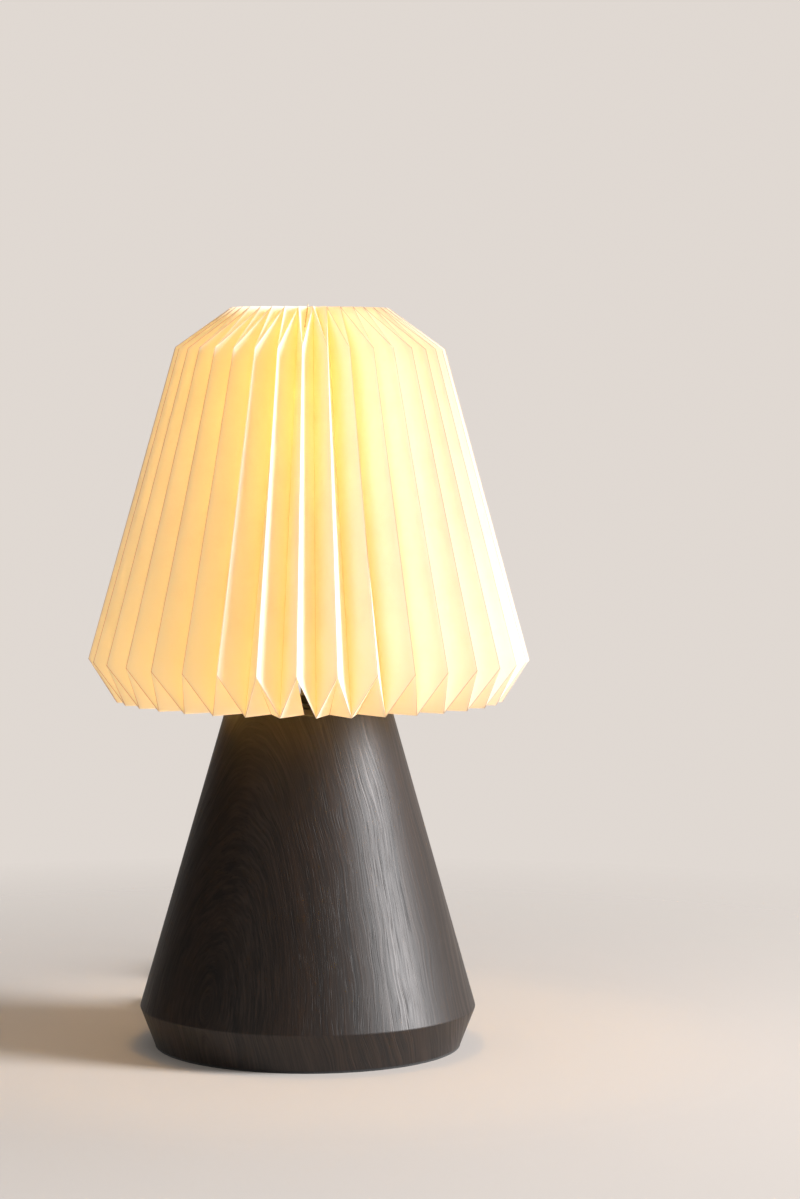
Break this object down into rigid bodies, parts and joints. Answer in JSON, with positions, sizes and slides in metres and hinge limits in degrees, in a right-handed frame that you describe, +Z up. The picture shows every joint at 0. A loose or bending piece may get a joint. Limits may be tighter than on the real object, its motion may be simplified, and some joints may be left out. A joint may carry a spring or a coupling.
{
  "type": "table lamp",
  "caption": "Table lamp with a dark turned wooden cone base and a lit, pleated paper shade over a screw-in bulb, on a mains cord with an in-line switch.",
  "frame": {"origin": "on the standing surface, under the axis of the base and the shade", "axes": "+Z up along the lamp's axis; the shade's seam faces -Y; the cord leaves the base at +Y; +X to the viewer's right"},
  "size_m": [0.2654, 0.4497, 0.4462],
  "materials": {
    "dark_wood": "satin, fine dark grain",
    "felt": "matte black felt",
    "steel": "zinc-plated",
    "holder_plastic": "matte black",
    "porcelain": "unglazed white",
    "brass": "plain",
    "carrier_wire": "white powder coat",
    "shade_paper": "matte, translucent",
    "clear_thread": "clear nylon",
    "bulb_metal": "nickel-plated",
    "bulb_black": "glossy black",
    "bulb_white": "white",
    "bulb_opal": "opal, lit warm white",
    "cord_sheath": "charcoal sheath",
    "cord_plastic": "fine matte charcoal",
    "rocker_plastic": "satin dark grey",
    "pin_metal": "nickel-plated"
  },
  "bodies": {
    "lamp": {"base_body": "dark_wood", "foot_pad": "felt", "stem_tube": "steel", "stem_washer": "steel", "stem_nut_lower": "steel", "stem_cover": "steel", "stem_nut_upper": "steel", "holder_cap": "holder_plastic", "holder_skirt": "holder_plastic", "holder_core": "porcelain", "holder_shell": "brass", "holder_contact": "brass", "terminal_screw_1": "brass", "terminal_screw_2": "brass", "shade_ring_lower": "holder_plastic", "inner_cord": "cord_sheath", "cord_stop": "cord_plastic", "cord_gland": "cord_plastic", "mains_cord": "cord_sheath", "switch_cord": "cord_sheath", "plug_cord": "cord_sheath", "cord_coil": "cord_sheath", "cord_tie": "cord_plastic", "switch_lower": "cord_plastic", "switch_upper": "cord_plastic", "switch_screw_1": "steel", "switch_screw_2": "steel", "plug_body": "cord_plastic", "plug_pin_1": "pin_metal", "plug_pin_2": "pin_metal"},
    "clamp_ring": {"shade_ring_clamp": "holder_plastic"},
    "carrier": {"carrier_collar": "carrier_wire", "carrier_arm_1": "carrier_wire", "carrier_arm_2": "carrier_wire", "carrier_arm_3": "carrier_wire", "carrier_top_ring": "carrier_wire"},
    "shade": {"shade_panel_1": "shade_paper", "shade_panel_2": "shade_paper", "shade_panel_3": "shade_paper", "shade_panel_4": "shade_paper", "shade_panel_5": "shade_paper", "shade_panel_6": "shade_paper", "shade_panel_7": "shade_paper", "shade_panel_8": "shade_paper", "shade_panel_9": "shade_paper", "shade_panel_10": "shade_paper", "shade_panel_11": "shade_paper", "shade_panel_12": "shade_paper", "gathering_thread": "clear_thread"},
    "bulb": {"bulb_contact": "bulb_metal", "bulb_insulator": "bulb_black", "bulb_cap": "bulb_metal", "bulb_housing": "bulb_white", "bulb_board": "bulb_metal", "bulb_globe": "bulb_opal"},
    "rocker": {"switch_rocker": "rocker_plastic"}
  },
  "joints": [
    {"name": "carrier_turn", "type": "hinge", "parent": "lamp", "child": "carrier", "pos_m": [0, 0, 0.2671], "axis": [0, 0, 1], "continuous": true},
    {"name": "shade_lift", "type": "slide", "parent": "carrier", "child": "shade", "axis": [0, 0, 1], "range_m": [0, 0.26]},
    {"name": "ring_unscrew", "type": "slide", "parent": "lamp", "child": "clamp_ring", "axis": [0, 0, 1], "range_m": [0, 0.01]},
    {"name": "bulb_unscrew", "type": "slide", "parent": "lamp", "child": "bulb", "axis": [0, 0, 1], "range_m": [0, 0.032]},
    {"name": "rocker_press", "type": "hinge", "parent": "lamp", "child": "rocker", "pos_m": [-0.0155, 0.305, 0.0159], "axis": [0, 1, 0], "range_deg": [-18, 0]}
  ]
}
